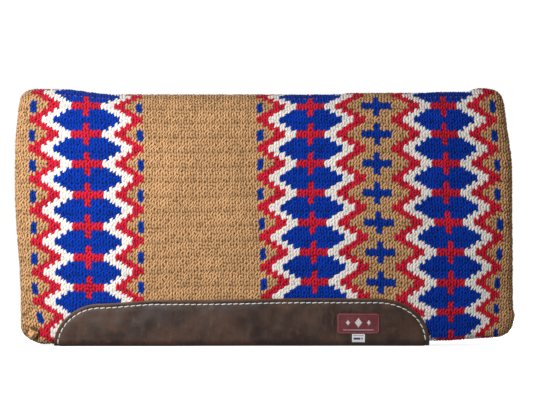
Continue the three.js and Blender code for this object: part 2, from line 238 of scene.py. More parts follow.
def set_value(made, name, values):
    attribute = made.data.attributes.new(name, "FLOAT", "POINT")
    attribute.data.foreach_set("value", np.asarray(values, np.float32))


def push_out(made, amounts):
    """Moves each vertex along its normal."""
    mesh = made.data
    count = len(mesh.vertices)
    at, normal = np.zeros(count * 3, np.float32), np.zeros(count * 3, np.float32)
    mesh.vertices.foreach_get("co", at)
    mesh.vertex_normals.foreach_get("vector", normal)
    moved = at.reshape(-1, 3) + normal.reshape(-1, 3) * np.asarray(amounts, np.float32)[:, None]
    mesh.vertices.foreach_set("co", moved.ravel())
    mesh.update()


def numbered(columns, rows):
    return np.arange(columns * rows).reshape(columns, rows)


def closed(number):
    """The grid with its first column again after its last, for a shape that closes on itself."""
    return np.concatenate([number, number[:, :1]], axis=1)


def grid_quads(number):
    """The quads between the vertices that a grid numbers."""
    corners = number[:-1, :-1], number[1:, :-1], number[1:, 1:], number[:-1, 1:]
    return np.stack(corners, axis=-1).reshape(-1, 4)


def round_corners(u, v, reach_u, reach_v, corner):
    """A flat grid with its corners drawn in to round ones, and how far each point is over its rim's width."""
    over_u = np.clip((np.abs(u) - (reach_u - corner)) / corner, 0, 1)
    over_v = np.clip((np.abs(v) - (reach_v - corner)) / corner, 0, 1)
    both = (over_u > 0) & (over_v > 0)
    round_u = reach_u - corner + corner * over_u * np.sqrt(1 - over_v**2 / 2)
    round_v = reach_v - corner + corner * over_v * np.sqrt(1 - over_u**2 / 2)
    u, v = np.where(both, np.sign(u) * round_u, u), np.where(both, np.sign(v) * round_v, v)
    return u, v, np.hypot(over_u, over_v)


# ---- the cover's slack, by cloth simulation
PANEL_COLUMNS, PANEL_ROWS = 66, 36
SEAM_ROW = 2
GRIPPED_SHARE = 0.03
SIMULATED_FRAMES = 20
MOST_SLACK = 1.8 * MM
SLACK = {}


def hang_panel(side):
    """A coarse flat panel of one side's cover, and which of its points the foam and the seams hold."""
    x = np.linspace(-HALF_LENGTH, HALF_LENGTH, PANEL_COLUMNS)
    arc = np.linspace(0, SIDE_DROP, PANEL_ROWS)
    x, arc = np.meshgrid(x, arc, indexing="ij")
    column, row = np.meshgrid(np.arange(PANEL_COLUMNS), np.arange(PANEL_ROWS), indexing="ij")
    seed = 3 if side == NEAR else 4
    uneven = 0.3 * MM * (random_at(column, row, seed) - 0.5)
    points = np.stack([x, arc, uneven], axis=-1).reshape(-1, 3)
    panel = make_mesh("slack_panel", points, grid_quads(numbered(PANEL_COLUMNS, PANEL_ROWS)))
    held = (column == 0) | (column == PANEL_COLUMNS - 1) | (row == 0) | (row == PANEL_ROWS - 1)
    held = held | (row == SEAM_ROW) | (random_at(column, row, seed + 2) < GRIPPED_SHARE)
    return panel, held.ravel()


def add_cloth(panel, held):
    """Slack woollen cloth, pushed out by the foam under it."""
    pinned = panel.vertex_groups.new(name="held")
    pinned.add(np.flatnonzero(held).tolist(), 1.0, "REPLACE")
    cloth = panel.modifiers.new("cloth", "CLOTH")
    settings = cloth.settings
    settings.quality = 6
    settings.mass = 0.02
    settings.tension_stiffness = 8
    settings.compression_stiffness = 8
    settings.shear_stiffness = 3
    settings.bending_stiffness = 0.5
    settings.vertex_group_mass = "held"
    settings.shrink_min = -0.002
    settings.use_pressure = True
    settings.uniform_pressure_force = 0.5
    settings.effector_weights.gravity = 0
    cloth.point_cache.frame_start = 1
    cloth.point_cache.frame_end = SIMULATED_FRAMES


def simulate_slack(side):
    """How far the cover stands off its middle shape at each point of the panel."""
    panel, held = hang_panel(side)
    add_cloth(panel, held)
    scene = bpy.context.scene
    for number in range(1, SIMULATED_FRAMES + 1):
        scene.frame_set(number)
    settled = panel.evaluated_get(bpy.context.evaluated_depsgraph_get()).to_mesh()
    at = np.zeros(len(settled.vertices) * 3, np.float32)
    settled.vertices.foreach_get("co", at)
    bpy.data.objects.remove(panel)
    scene.frame_set(1)
    stands = np.nan_to_num(at.reshape(PANEL_COLUMNS, PANEL_ROWS, 3)[:, :, 2].astype(float))
    stands = stands - stands.mean()
    return MOST_SLACK * np.tanh(stands / MOST_SLACK)


def slack_at(field, x, arc):
    """The panel's values at any place on the side, smoothly."""
    u = np.clip((x + HALF_LENGTH) / (2 * HALF_LENGTH), 0, 1) * (PANEL_COLUMNS - 1)
    v = np.clip(arc / SIDE_DROP, 0, 1) * (PANEL_ROWS - 1)
    column, row = np.rint(u).astype(int), np.rint(v).astype(int)

    def shares(offset):
        return 0.5 * (0.5 - offset) ** 2, 0.75 - offset**2, 0.5 * (0.5 + offset) ** 2

    total = 0.0
    for step_x, share_x in zip((-1, 0, 1), shares(u - column)):
        for step_v, share_v in zip((-1, 0, 1), shares(v - row)):
            near_column = np.clip(column + step_x, 0, PANEL_COLUMNS - 1)
            near_row = np.clip(row + step_v, 0, PANEL_ROWS - 1)
            total = total + share_x * share_v * field[near_column, near_row]
    return total


# ---- a sheet with rolled edges
def rolled_sheet(inset, spacing_x, spacing_arc, roll, hem, corner):
    """One side of the pad's cover, laid flat: where each vertex is on the flat pad, its depth, and the quads.

    The face ends at inset from the pad's outline. Past it the sheet rolls by half a turn round an edge of
    radius roll, and goes back under by hem. The cloth coordinates keep growing, as the cloth itself does.
    """
    reach_x, reach_arc = HALF_LENGTH - inset - roll, SIDE_DROP - inset - roll
    columns = 2 * round(reach_x / spacing_x) + 1
    rows = round(reach_arc / spacing_arc) + 1
    along, down = np.linspace(-reach_x, reach_x, columns), np.linspace(0, reach_arc, rows)
    x, arc = np.meshgrid(along, down, indexing="ij")
    x, arc, _ = round_corners(x, arc, reach_x, reach_arc, max(corner - inset - roll, 2 * spacing_x))

    number = numbered(columns, rows)
    rim = np.concatenate([number[0, :], number[1:-1, -1], number[-1, ::-1]])
    face_x, face_arc = x.ravel(), arc.ravel()
    step_x, step_arc = np.gradient(face_x[rim]), np.gradient(face_arc[rim])
    length = np.hypot(step_x, step_arc)
    away_x, away_arc = -step_arc / length, step_x / length
    away_x[0], away_arc[0], away_x[-1], away_arc[-1] = -1, 0, 1, 0
    widths = np.arange(spacing_x, math.pi * roll + hem + spacing_x / 2, spacing_x)
    turn = np.minimum(widths / roll, math.pi)
    beyond = roll * np.sin(turn) - np.maximum(widths - math.pi * roll, 0)

    def with_strip(face, away, reach):
        return np.concatenate([face, (face[rim][:, None] + away[:, None] * reach).ravel()])

    x_all, arc_all = with_strip(face_x, away_x, beyond), with_strip(face_arc, away_arc, beyond)
    cloth_x, cloth_arc = with_strip(face_x, away_x, widths), with_strip(face_arc, away_arc, widths)
    depth = np.concatenate([np.zeros(x.size), np.tile(roll * (1 - np.cos(turn)), len(rim))])
    outward = x.size + numbered(len(rim), len(widths))
    strip = np.concatenate([rim[:, None], outward], axis=1)
    quads = np.concatenate([grid_quads(number.T), grid_quads(strip.T)])
    return x_all, np.maximum(arc_all, 0), depth, cloth_x, cloth_arc, quads


# ---- the weave
def pattern_lean(x, arc):
    """How far the pattern has crept along the pad, from column to column and down the side."""
    front = -0.5 * MM - 5.5 * MM * ramp(arc, 0.160, 0) + 0.05 * np.clip(x + 0.289, -0.090, 0.090)
    front -= 5.0 * MM * ramp(x, -0.291, -0.333) * ramp(arc, 0.180, 0.360)
    front += 2.4 * MM * mound(x, -0.243, 0.028)
    front += 12.0 * MM * ramp(x, -0.300, -0.360) * ramp(arc, 0.345, 0.415)
    middle = -3.4 * MM + 7.5 * MM * ramp(arc, 0.120, 0.380)
    rear = 1.5 * MM + 6.0 * MM * ramp(arc, 0.180, 0.280)
    at_front, at_rear = ramp(x, 0.070, -0.290), ramp(x, 0.080, 0.300)
    gathered = -12.0 * MM * ramp(x, 0.340, 0.395) * ramp(arc, 0.220, 0.380)
    gathered += 3.5 * MM * ramp(x, 0.330, 0.370) * ramp(arc, 0.110, 0.050)
    return front * at_front + middle * (1 - at_front - at_rear) + rear * at_rear + gathered


def pattern_drop(x, arc):
    """The rows sag towards the pad's front bottom corner, and bow under its rear column."""
    front = 8.5 * MM * ramp(x, -0.060, -0.260) * ramp(arc, 0.080, 0.320)
    front += 4.5 * MM * ramp(x, -0.300, -0.350) * ramp(arc, 0.402, 0.422)
    rear = 4.8 * MM * ramp(arc, 0.290, 0.380) + 4.0 * MM * ramp(arc, 0.403, 0.429)
    return front + rear * ramp(x, 0.170, 0.250) * (1 - 1.6 * ramp(x, 0.300, 0.390))


def weave_coordinates(cloth_x, cloth_arc, side):
    """Teeth along the pad and rows across it, with the small unevenness of hand weaving."""
    hang = cloth_arc - pattern_drop(cloth_x, cloth_arc)
    drape = PATTERN_SHIFT + (hang if side == NEAR else -hang)
    drape = drape + RIDGE_STRETCH * ramp(cloth_arc, 0.070, 0)
    teeth, rows = (cloth_x - pattern_lean(cloth_x, cloth_arc)) / TOOTH, drape / ROW
    rows = rows + 0.14 * soft_noise(cloth_x / 0.120, drape / 0.150, 21)
    rows = rows + 0.13 * soft_noise(cloth_x / 0.031, drape / 0.200, 22)
    teeth = teeth + 0.25 * soft_noise(cloth_x / 0.160, drape / 0.110, 23)
    teeth = teeth + 0.13 * np.cos(math.pi * rows)
    teeth = teeth + 0.20 * soft_noise(teeth / 2.3, rows / 1.7, 25)
    at_ends = ramp(np.abs(cloth_x), 0.370, 0.400)
    teeth = teeth + at_ends * 0.35 * soft_noise(rows / 1.6, teeth / 7, 24)
    return teeth, rows


def float_cell(teeth, rows, floor):
    """The column and row of the float at a place, and how far across and along it that is, from -1 to 1."""
    column = floor(teeth)
    across = (teeth - column) * 2.0 - 1.0
    slanted = rows + (column % 2.0) * STAGGER + across * (END_SLANT / 2)
    row = floor(slanted)
    return column, row, across, (slanted - row) * 2.0 - 1.0


def float_relief(teeth, rows):
    """How far each float's yarn stands up, from 0 in the gaps to 1 on its crown."""
    column, row, across, along = float_cell(teeth, rows, np.floor)
    lean = LEAST_LEAN + (MOST_LEAN - LEAST_LEAN) * random_at(column, row, 7)
    leaning = (across + lean * along) / FLOAT_WIDTH
    crown = np.sqrt(np.maximum(1 - leaning**2 - along**4, 0))
    return crown**0.8 * (0.80 + 0.40 * random_at(column, row, 5))


# ---- the leather's cut edge
FRONT_SWEEP, REAR_SWEEP = 0.076, 0.085
FRONT_ROUNDNESS, REAR_ROUNDNESS = 0.55, 0.43
CUT_FOOT = 3.0 * MM
NO_LEATHER = -0.05


def leather_height(x, inset=0.0):
    """The height of the wear leather's cut edge at x, or below 0 past its ends."""
    front_end, front_centre = leather_low.x + inset, leather_low.x + FRONT_SWEEP
    rear_end, rear_centre = leather_high.x - inset, leather_high.x - REAR_SWEEP
    rear_top = leather_high.z + 0.8 * MM - inset + 2.8 * MM * ramp(x, -0.110, 0.060)
    front_top = rear_top - 5.8 * MM * ramp(x, -0.170, -0.270)
    to_front = np.clip((front_centre - x) / (front_centre - front_end), 0, 1)
    to_rear = np.clip((x - rear_centre) / (rear_end - rear_centre), 0, 1)
    at_front = CUT_FOOT + (front_top - CUT_FOOT) * (1 - to_front**2) ** FRONT_ROUNDNESS
    at_rear = CUT_FOOT + (rear_top - CUT_FOOT) * (1 - to_rear**2) ** REAR_ROUNDNESS
    outside = (x < front_end) | (x > rear_end)
    return np.where(outside, NO_LEATHER, np.where(x < 0, at_front, at_rear))


def leather_press(x, z):
    """The wool is squeezed under the leather, and swells just outside its edge."""
    cut, under_cut = leather_height(x), leather_height(x, 4.0 * MM)
    under = ramp(z, under_cut, under_cut - 6.0 * MM)
    beside = mound(z, cut + 9.0 * MM, 9.0 * MM) * (cut > 0)
    return -0.9 * MM * under + 0.7 * MM * beside * (1 - under)


def knot_press(x, z, depth):
    """From 0 to 1, how deep the cover is drawn in round the corner's knot, and in a short pleat above it."""
    middle = (knot_low + knot_high) / 2
    from_knot = np.hypot(x - middle.x - 2.2 * MM, z - middle.z - 0.6 * MM)
    ring = mound(from_knot, 8.5 * MM, 4.0 * MM)
    pleat_line = middle.z + 0.025 + 0.5 * (x + HALF_LENGTH)
    pleat = mound(z, pleat_line, 3.2 * MM) * ramp(x, -0.372, -0.392)
    on_face = ramp(depth, 1.2 * ROLL_RADIUS, 1.2 * ROLL_RADIUS - 8.0 * MM)
    return np.maximum(ring, 0.8 * pleat) * on_face


def make_wool(side_name):
    """The woven cover of one side: one skin from the ridge, round the edges and under the hem."""
    side = SIDES[side_name]
    spacing_x, spacing_arc = TOOTH / STEPS_PER_TOOTH, ROW / STEPS_PER_ROW
    shape = rolled_sheet(0, spacing_x, spacing_arc, ROLL_RADIUS, HEM_WIDTH, CORNER_RADIUS)
    x, arc, depth, cloth_x, cloth_arc, quads = shape
    points = pad_points(x, arc, depth, side)
    wool = make_mesh(f"{side_name}_woven_wool", points, quads, flip=side == OFF)
    teeth, rows = weave_coordinates(cloth_x, cloth_arc, side)
    crease = knot_press(points[:, 0], points[:, 2], depth)
    squeeze = leather_press(points[:, 0], points[:, 2]) * (depth < ROLL_RADIUS) - CREASE_DEPTH * crease
    flattened = 1 - 0.55 * (squeeze < -0.3 * MM) - 0.45 * (depth > 1.6 * ROLL_RADIUS)
    push_out(wool, float_relief(teeth, rows) * FLOAT_HEIGHT * flattened - FLOAT_SINK + squeeze)
    set_uv(wool, "Weave", teeth, rows)
    # The crease attribute also darkens the wool's colour in its shader, as painted shadow round the knot and
    # pleat.
    set_value(wool, "crease", crease)
    stand_for(wool, side_name, wool_material(), "woven_wool", "woven_top")
    bend_over_ridge(wool, side_name)


def stand_for(piece, side_name, material, slot, *layers):
    """The piece takes the place of those layers of its side, and the near piece of the spine's layers too."""
    piece.data.materials.append(material)
    for body in ("near", "spine") if side_name == "near" else ("off",):
        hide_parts(*[f"{body}_{layer}" for layer in layers])


def bend_over_ridge(piece, side_name):
    """Bakes the piece's placement into its mesh. The ridge's start and end points are worked out but not
    used.
    """
    side = SIDES[side_name]
    start, end = (0, side * 0.010, 0.406), (0, side * 0.041, 0.366)
    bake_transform(piece)
    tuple(start)
    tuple(end)


# ---- foam core and felt liner
def make_foam(side_name):
    """The hidden core: a slab inside the cover, with a round edge."""
    side = SIDES[side_name]
    cover, half_thick, spacing = 6.8 * MM, 5.6 * MM, 8 * MM
    shape = rolled_sheet(cover, spacing, spacing, half_thick, 0.0, CORNER_RADIUS)
    x, arc, depth, cloth_x, cloth_arc, quads = shape
    points = pad_points(x, arc, cover + depth, side)
    foam = make_mesh(f"{side_name}_foam", points, quads, flip=side == OFF)
    set_uv(foam, "Slab", cloth_x, cloth_arc)
    stand_for(foam, side_name, foam_material(), "foam", "foam_core")
    bend_over_ridge(foam, side_name)


def make_felt(side_name):
    """The liner against the horse: thick felt with a round edge, creased where it bends under the ridge."""
    side = SIDES[side_name]
    half_thick, hem, spacing, corner = 3.1 * MM, 2 * MM, 2.6 * MM, 34 * MM
    shape = rolled_sheet(HEM_WIDTH + 0.4 * MM, spacing, spacing, half_thick, hem, corner)
    x, arc, depth, cloth_x, cloth_arc, quads = shape
    points = pad_points(x, arc, THICKNESS - depth, side)
    felt = make_mesh(f"{side_name}_felt", points, quads, flip=side == NEAR)
    lump, tuft, crease = 12 * MM, 5.2 * MM, 5.5 * MM
    lumps = 0.30 * MM * soft_noise(cloth_x / lump, cloth_arc / lump, 31)
    tufts = 0.22 * MM * soft_noise(cloth_x / tuft, cloth_arc / tuft, 32)
    creases = np.sin(cloth_arc / crease + 1.4 * soft_noise(cloth_x / 0.060, cloth_arc / 0.020, 33))
    push_out(felt, lumps + tufts + 0.5 * MM * ramp(cloth_arc, 0.070, 0.020) * creases - 0.3 * MM)
    set_uv(felt, "Slab", cloth_x, cloth_arc)
    stand_for(felt, side_name, felt_material(), "felt", "felt_liner")
    bend_over_ridge(felt, side_name)


# ---- wear leather
LEATHER = 2.2 * MM
LEATHER_GAP = 0.6 * MM
OUTER_DEPTH = -LEATHER_GAP - LEATHER / 2
INNER_DEPTH = THICKNESS + 0.3 * MM + LEATHER / 2
OUTER_BEND, INNER_BEND = 10.4 * MM, 7.1 * MM
STITCH_INSET = 6.5 * MM
INSIDE_CUT = 0.01 * MM
HIDE_STATIONS = 112


def flap_out(z, depth):
    """How far out a side's surface is at that height."""
    return SIDE_CENTRE_OUT + np.sqrt((SIDE_RADIUS - depth) ** 2 - (z - SIDE_CENTRE_Z) ** 2)


OUTER_BEND_OUT = float(flap_out(LEATHER / 2 + OUTER_BEND, OUTER_DEPTH)) - OUTER_BEND
INNER_BEND_OUT = float(flap_out(LEATHER / 2 + INNER_BEND, INNER_DEPTH)) + INNER_BEND
SOLE_MIDDLE = (OUTER_BEND_OUT + INNER_BEND_OUT) / 2
HALF_SOLE = (OUTER_BEND_OUT - INNER_BEND_OUT) / 2


def run_to_height(z, bend):
    """How far the hide runs from the middle of the sole up to height z on a flap with that bend."""
    above = np.maximum(z - LEATHER / 2, 0)
    on_bend = bend * np.arccos(np.clip(1 - above / bend, -1, 1))
    return HALF_SOLE + np.where(above < bend, on_bend, bend * math.pi / 2 + above - bend)


def hide_path(run):
    """The middle of the leather in section, for runs from the sole's middle: its place and outward normal."""
    far = np.abs(run)
    outer = run >= 0
    bend = np.where(outer, OUTER_BEND, INNER_BEND)
    turn = np.clip((far - HALF_SOLE) / bend, 0, math.pi / 2)
    up = np.maximum(far - HALF_SOLE - bend * math.pi / 2, 0)
    z = LEATHER / 2 + bend * (1 - np.cos(turn)) + up
    straight = np.minimum(far, HALF_SOLE) + bend * np.sin(turn)
    on_sole = SOLE_MIDDLE + np.where(outer, straight, -straight)
    on_flap = np.where(outer, flap_out(z, OUTER_DEPTH), flap_out(z, INNER_DEPTH))
    out = np.where(up > 0, on_flap, on_sole)
    return out, z, np.where(outer, np.sin(turn), -np.sin(turn)), -np.cos(turn)


def label_calm(x, z):
    """1 where the maker's patch lies on the leather, fading to 0 round it."""
    margin = 6.0 * MM
    over_x = ramp(x, label_low.x - margin, label_low.x) * ramp(x, label_high.x + margin, label_high.x)
    return over_x * ramp(z, label_high.z + margin, label_high.z)


def hide_points(x, run, lifted, side, from_cut):
    """Points on the leather, lifted from its middle; from_cut is their distance to its cut edge."""
    out, z, normal_out, normal_z = hide_path(run)
    seed = 40 if side == NEAR else 50
    calm = 1 - 0.85 * label_calm(x, z) * (side == NEAR)
    swell = 0.75 * MM * ramp(from_cut, STITCH_INSET, STITCH_INSET + 10.0 * MM)
    ripple = 0.55 * MM * soft_noise(x / 0.047, run / 0.033, seed)
    fine = 0.16 * MM * soft_noise(x / 0.012, run / 0.010, seed + 1)
    lip = 0.25 * MM * mound(from_cut, 3.2 * MM, 1.9 * MM)
    groove = -0.85 * MM * mound(from_cut, STITCH_INSET, 1.5 * MM)
    pushed = lifted + calm * (swell + ripple + fine) * (0.4 + 0.6 * np.abs(normal_out)) + lip + groove
    outer_share = ramp(out, INNER_BEND_OUT, OUTER_BEND_OUT)
    wave = waviness(x, SIDE_DROP - z, side) * (0.35 + 0.65 * outer_share) * ramp(z, 0, 0.020)
    raised = 0.6 * MM * ramp(x, -0.205, -0.025) * ramp(z, 0.045, 0)
    out = out + normal_out * pushed + wave
    z = np.maximum(z + normal_z * pushed * ease(from_cut / 0.020 + 0.3), 0.0) + raised
    return np.stack([np.broadcast_to(x, out.shape), side * out, z], axis=-1)


def leather_columns():
    """Where along x the leather's mesh has columns: close together round its curved ends."""
    turn = np.linspace(0, math.pi / 2, 26)
    front = leather_low.x + FRONT_SWEEP * (1 - np.cos(turn))
    rear = leather_high.x - REAR_SWEEP * (1 - np.cos(turn[::-1]))
    middle = np.linspace(front[-1], rear[0], 190)[1:-1]
    return np.concatenate([front, middle, rear])


def cut_distance(x, run, edge_x, edge_runs):
    """The distance from each point of the hide to its nearest cut edge."""
    nearest = np.minimum(x - leather_low.x, leather_high.x - x)
    for edge in edge_runs:
        for a, b in zip(edge_x, edge):
            nearest = np.minimum(nearest, np.hypot(x - a, run - b))
    return nearest


def leather_edge_runs(x, inset=0.0):
    height = np.maximum(leather_height(x, inset), LEATHER / 2)
    return run_to_height(height, OUTER_BEND), -run_to_height(height, INNER_BEND)


def make_leather(side_name):
    """The wear leather of one side: a hide that runs down the outside, round the sole and up inside."""
    side = SIDES[side_name]
    columns = leather_columns()
    first, last = leather_low.x + INSIDE_CUT, leather_high.x - INSIDE_CUT
    edge_x = np.linspace(first, last, 420)
    edges = leather_edge_runs(edge_x)
    top, bottom = (runs[:, None] for runs in leather_edge_runs(np.clip(columns, first, last)))
    run = top + (bottom - top) * np.linspace(0, 1, HIDE_STATIONS)
    x = np.repeat(columns[:, None], HIDE_STATIONS, axis=1)
    from_cut = cut_distance(x, run, edge_x, edges)

    half = LEATHER / 2
    rim_turn = np.linspace(0, math.pi, 7)[1:-1]
    rim_run = 0.7 * half * np.sin(rim_turn)
    loop_run = np.concatenate([run, bottom - rim_run, run[:, ::-1], top + rim_run], axis=1)
    loop_x = np.repeat(columns[:, None], loop_run.shape[1], axis=1)
    face_lift = half * (0.72 + 0.28 * ramp(from_cut, 0, 1.2 * MM))
    rim_lift = np.repeat((0.72 * half * np.cos(rim_turn))[None, :], len(columns), axis=0)
    lifted = np.concatenate([face_lift, rim_lift, -face_lift[:, ::-1], -rim_lift], axis=1)
    none = np.zeros_like(rim_lift)
    loop_cut = np.concatenate([from_cut, none, from_cut[:, ::-1], none], axis=1)

    points = hide_points(loop_x, loop_run, lifted, side, loop_cut)
    number = numbered(*loop_run.shape)
    walls = grid_quads(closed(number).T)
    back_start = HIDE_STATIONS + len(rim_turn)
    face, back = number[:, :HIDE_STATIONS], number[:, back_start : back_start + HIDE_STATIONS][:, ::-1]
    front_cap, rear_cap = (grid_quads(np.stack([face[end], back[end]])) for end in (0, -1))
    quads = np.concatenate([walls, front_cap, rear_cap[:, ::-1]])
    leather = make_mesh(f"{side_name}_leather", points.reshape(-1, 3), quads, flip=side == NEAR)
    set_uv(leather, "Hide", loop_x.ravel(), loop_run.ravel())
    set_value(leather, "from_cut", loop_cut.ravel() / MM)
    ride_on_side(leather, side_name, leather_material(), "wear_leather", f"{side_name}_wear_leather")


def ride_on_side(piece, side_name, material, slot, *nodes):
    """The piece takes the place of those nodes and moves with its side."""
    piece.data.materials.append(material)
    if nodes:
        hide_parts(*nodes)
    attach(piece, f"{side_name}_side")


# ---- thread
THREAD_TWIST, YARN_TWIST = 320, 70


def walk(points):
    """The length along a line of points, from its start."""
    return np.concatenate([[0], np.cumsum(np.linalg.norm(np.diff(points, axis=0), axis=1))])


class Threads:
    """Collects tubes of thread and yarn into one mesh."""

    def __init__(self):
        self.points, self.quads, self.along, self.around = [], [], [], []
        self.count = 0

    def tube(self, line, normals, radius, lobes, turns_per_m, lobe_depth, flat=1.0, endless=False):
        """A twisted tube along line, of that many plies; flat squeezes it along the normals."""
        sides = 4 * lobes
        rings = len(line)
        if endless:
            ahead = np.roll(line, -1, axis=0) - np.roll(line, 1, axis=0)
        else:
            ahead = np.gradient(line, axis=0)
        ahead /= np.linalg.norm(ahead, axis=1)[:, None]
        sideways = np.cross(ahead, normals)
        sideways /= np.linalg.norm(sideways, axis=1)[:, None]
        up = np.cross(sideways, ahead)
        run = walk(line)
        angle = np.arange(sides) * 2 * math.pi / sides
        spin = 2 * math.pi * turns_per_m * run
        wide = 1 + lobe_depth * np.cos(lobes * (angle[None, :] - spin[:, None]))
        reach = np.broadcast_to(radius, (rings,))[:, None] * wide
        ring = (
            line[:, None]
            + sideways[:, None] * (reach * np.cos(angle))[:, :, None]
            + up[:, None] * (flat * reach * np.sin(angle))[:, :, None]
        )
        number = closed(self.count + numbered(rings, sides))
        if endless:
            number = np.concatenate([number, number[:1]])
        self.points.append(ring.reshape(-1, 3))
        self.quads.append(grid_quads(number))
        self.along.append(np.repeat(run, sides))
        self.around.append(np.tile(angle / (2 * math.pi), rings))
        self.count += rings * sides

    def build(self, name, flip=False):
        made = make_mesh(name, np.concatenate(self.points), np.concatenate(self.quads), flip=flip)
        set_uv(made, "Thread", np.concatenate(self.along), np.concatenate(self.around))
        return made


def stitches_on(threads, place, length, pitch, stitch, radius, slant, stand, seed):
    """A row of stitches along a line of that length. place(run, aside, up) gives points on the cloth."""
    t = np.linspace(0, 1, 11)
    arch = np.sin(math.pi * t) ** 0.35
    up = radius * ((stand + 1.1) * arch - 1.1)
    for i in range(int(length / pitch)):
        start = (i + 0.5) * pitch - stitch / 2 + 0.3 * MM * (random_at(i, 1, seed) - 0.5)
        run = start + stitch * t
        aside = slant * (t - 0.5) * stitch + 0.2 * MM * (random_at(i, 2, seed) - 0.5)
        line, above = place(run, aside, up), place(run, aside, up + MM)
        thick = radius * (0.30 + 0.70 * arch) * (0.94 + 0.12 * random_at(i, 3, seed))
        threads.tube(line, above - line, thick, 2, THREAD_TWIST, 0.10, flat=0.85)


def leather_stitch_line():
    """The stitch line's x and height, from the front foot over the top to the rear foot."""
    front, rear = leather_low.x + STITCH_INSET, leather_high.x - STITCH_INSET
    front_turn, rear_turn = np.linspace(0, math.pi / 2, 40), np.linspace(math.pi / 2, 0.05, 40)
    at_front = front + (FRONT_SWEEP - STITCH_INSET) * (1 - np.cos(front_turn))
    at_rear = rear - (REAR_SWEEP - STITCH_INSET) * (1 - np.cos(rear_turn))
    x = np.concatenate([at_front, np.linspace(at_front[-1], at_rear[0], 160)[1:-1], at_rear])
    return x, leather_height(x, STITCH_INSET)


def make_leather_stitching(side_name):
    """A row of waxed thread all round the leather's cut edge, outside and inside."""
    side = SIDES[side_name]
    threads = Threads()
    x, z = leather_stitch_line()
    walked = walk(np.stack([x, z], axis=-1))
    for flap, bend in ((1, OUTER_BEND), (-1, INNER_BEND)):

        def place(run, aside, up):
            at_x, at_z = np.interp(run, walked, x), np.interp(run, walked, z)
            slope = np.arctan2(np.gradient(at_z), np.gradient(at_x))
            at_x, at_z = at_x - np.sin(slope) * aside, at_z + np.cos(slope) * aside
            at_cut = np.full_like(at_x, STITCH_INSET)
            return hide_points(at_x, flap * run_to_height(at_z, bend), LEATHER / 2 + up, side, at_cut)

        stitches_on(threads, place, walked[-1], 9.9 * MM, 9.2 * MM, 0.95 * MM, slant=0.10, stand=1.0, seed=6)
    stitching = threads.build(f"{side_name}_leather_stitches", flip=side == OFF)
    material = thread_material("waxed thread")
    ride_on_side(stitching, side_name, material, "thread", f"{side_name}_leather_stitching")


def pad_row(x_of, arc_of, depth, side):
    """A place() function for stitches_on, along a line on the pad."""

    def place(run, aside, up):
        inner = depth > THICKNESS / 2
        return pad_points(x_of(run, aside), arc_of(run, aside), depth + (up if inner else -up), side)

    return place


def make_spine_stitching(side_name):
    """One row of stitches along each side of the ridge, sunk into the wool."""
    side = SIDES[side_name]
    threads = Threads()
    row_arc, front, rear = 0.022, spine_low.x + 0.0365, spine_high.x - 0.0405
    place = pad_row(lambda run, aside: front + run, lambda run, aside: row_arc + aside + 0 * run, 0.0, side)
    stitches_on(threads, place, rear - front, 9.5 * MM, 5.4 * MM, 0.70 * MM, slant=0.05, stand=-0.9, seed=9)
    stitching = threads.build(f"{side_name}_spine_stitches", flip=side == OFF)
    stitching.data.materials.append(thread_material("tan thread"))
    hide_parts(f"{side_name}_spine_stitching")
    bend_over_ridge(stitching, side_name)


def make_hem_stitching(side_name):
    """The rows that hold the cover's front and rear hems down over the felt."""
    side = SIDES[side_name]
    threads = Threads()
    seam_x, seam_top, seam_foot = felt_high.x - 4.7 * MM, 4.0 * MM, 19.0 * MM
    length = SIDE_DROP - seam_top - seam_foot
    for end, seed in ((-1, 12), (1, 13)):
        x_of = lambda run, aside, at=end * seam_x: at + aside + 0 * run
        place = pad_row(x_of, lambda run, aside: seam_top + run, THICKNESS + 0.2 * MM, side)
        stitches_on(threads, place, length, 9.0 * MM, 6.6 * MM, 0.7 * MM, slant=0.06, stand=0.6, seed=seed)
    stitching = threads.build(f"{side_name}_hem_stitches", flip=side == OFF)
    seams = "front_hem_seam", "rear_hem_seam"
    stand_for(stitching, side_name, thread_material("tan thread"), "thread", *seams)
    bend_over_ridge(stitching, side_name)


# ---- corner knots
def make_knot(side_name):
    """A round knot of cover yarn at the front bottom corner: three wraps, with two tails into the corner."""
    side = SIDES[side_name]
    node = f"{side_name}_corner_knot"
    low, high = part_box(node)
    centre = np.array(low + high) / 2 + np.array([0, side * 1.5 * MM, 0])
    threads = Threads()
    t = np.linspace(0, 2 * math.pi, 64, endpoint=False)[:, None]
    across, out, up = np.array([1.0, 0, 0]), np.array([0, side, 0]), np.array([0, 0, 1.0])
    wraps = [
        (across, up, out, 4.3 * MM, 3.3 * MM, 0.0),
        (0.80 * across + 0.60 * up, out, 0.60 * across - 0.80 * up, 4.6 * MM, 3.0 * MM, 0.8 * MM),
        (0.35 * across - 0.94 * up, out, 0.94 * across + 0.35 * up, 3.6 * MM, 3.0 * MM, -2.6 * MM),
    ]
    for one, other, axis, reach, yarn, shifted in wraps:
        outward = np.cos(t) * one + np.sin(t) * other
        ring = centre + reach * outward + shifted * axis
        threads.tube(ring, outward, yarn, 4, YARN_TWIST, 0.08, endless=True)
    s = np.linspace(0, 1, 14)
    for reach_x, reach_z in ((-4.0 * MM, 10.0 * MM), (9.0 * MM, 3.0 * MM)):
        tail = centre + np.stack([reach_x * s, side * (-1.0 - 8.0 * s) * MM, reach_z * s], axis=-1)
        outward = np.tile([0.0, side, 0.15], (len(s), 1))
        threads.tube(tail, outward, 2.4 * MM * (1 - 0.3 * s), 4, YARN_TWIST, 0.08)
    knot = threads.build(f"{side_name}_yarn_knot", flip=side == OFF)
    ride_on_side(knot, side_name, thread_material("wool yarn"), "woven_wool", node)


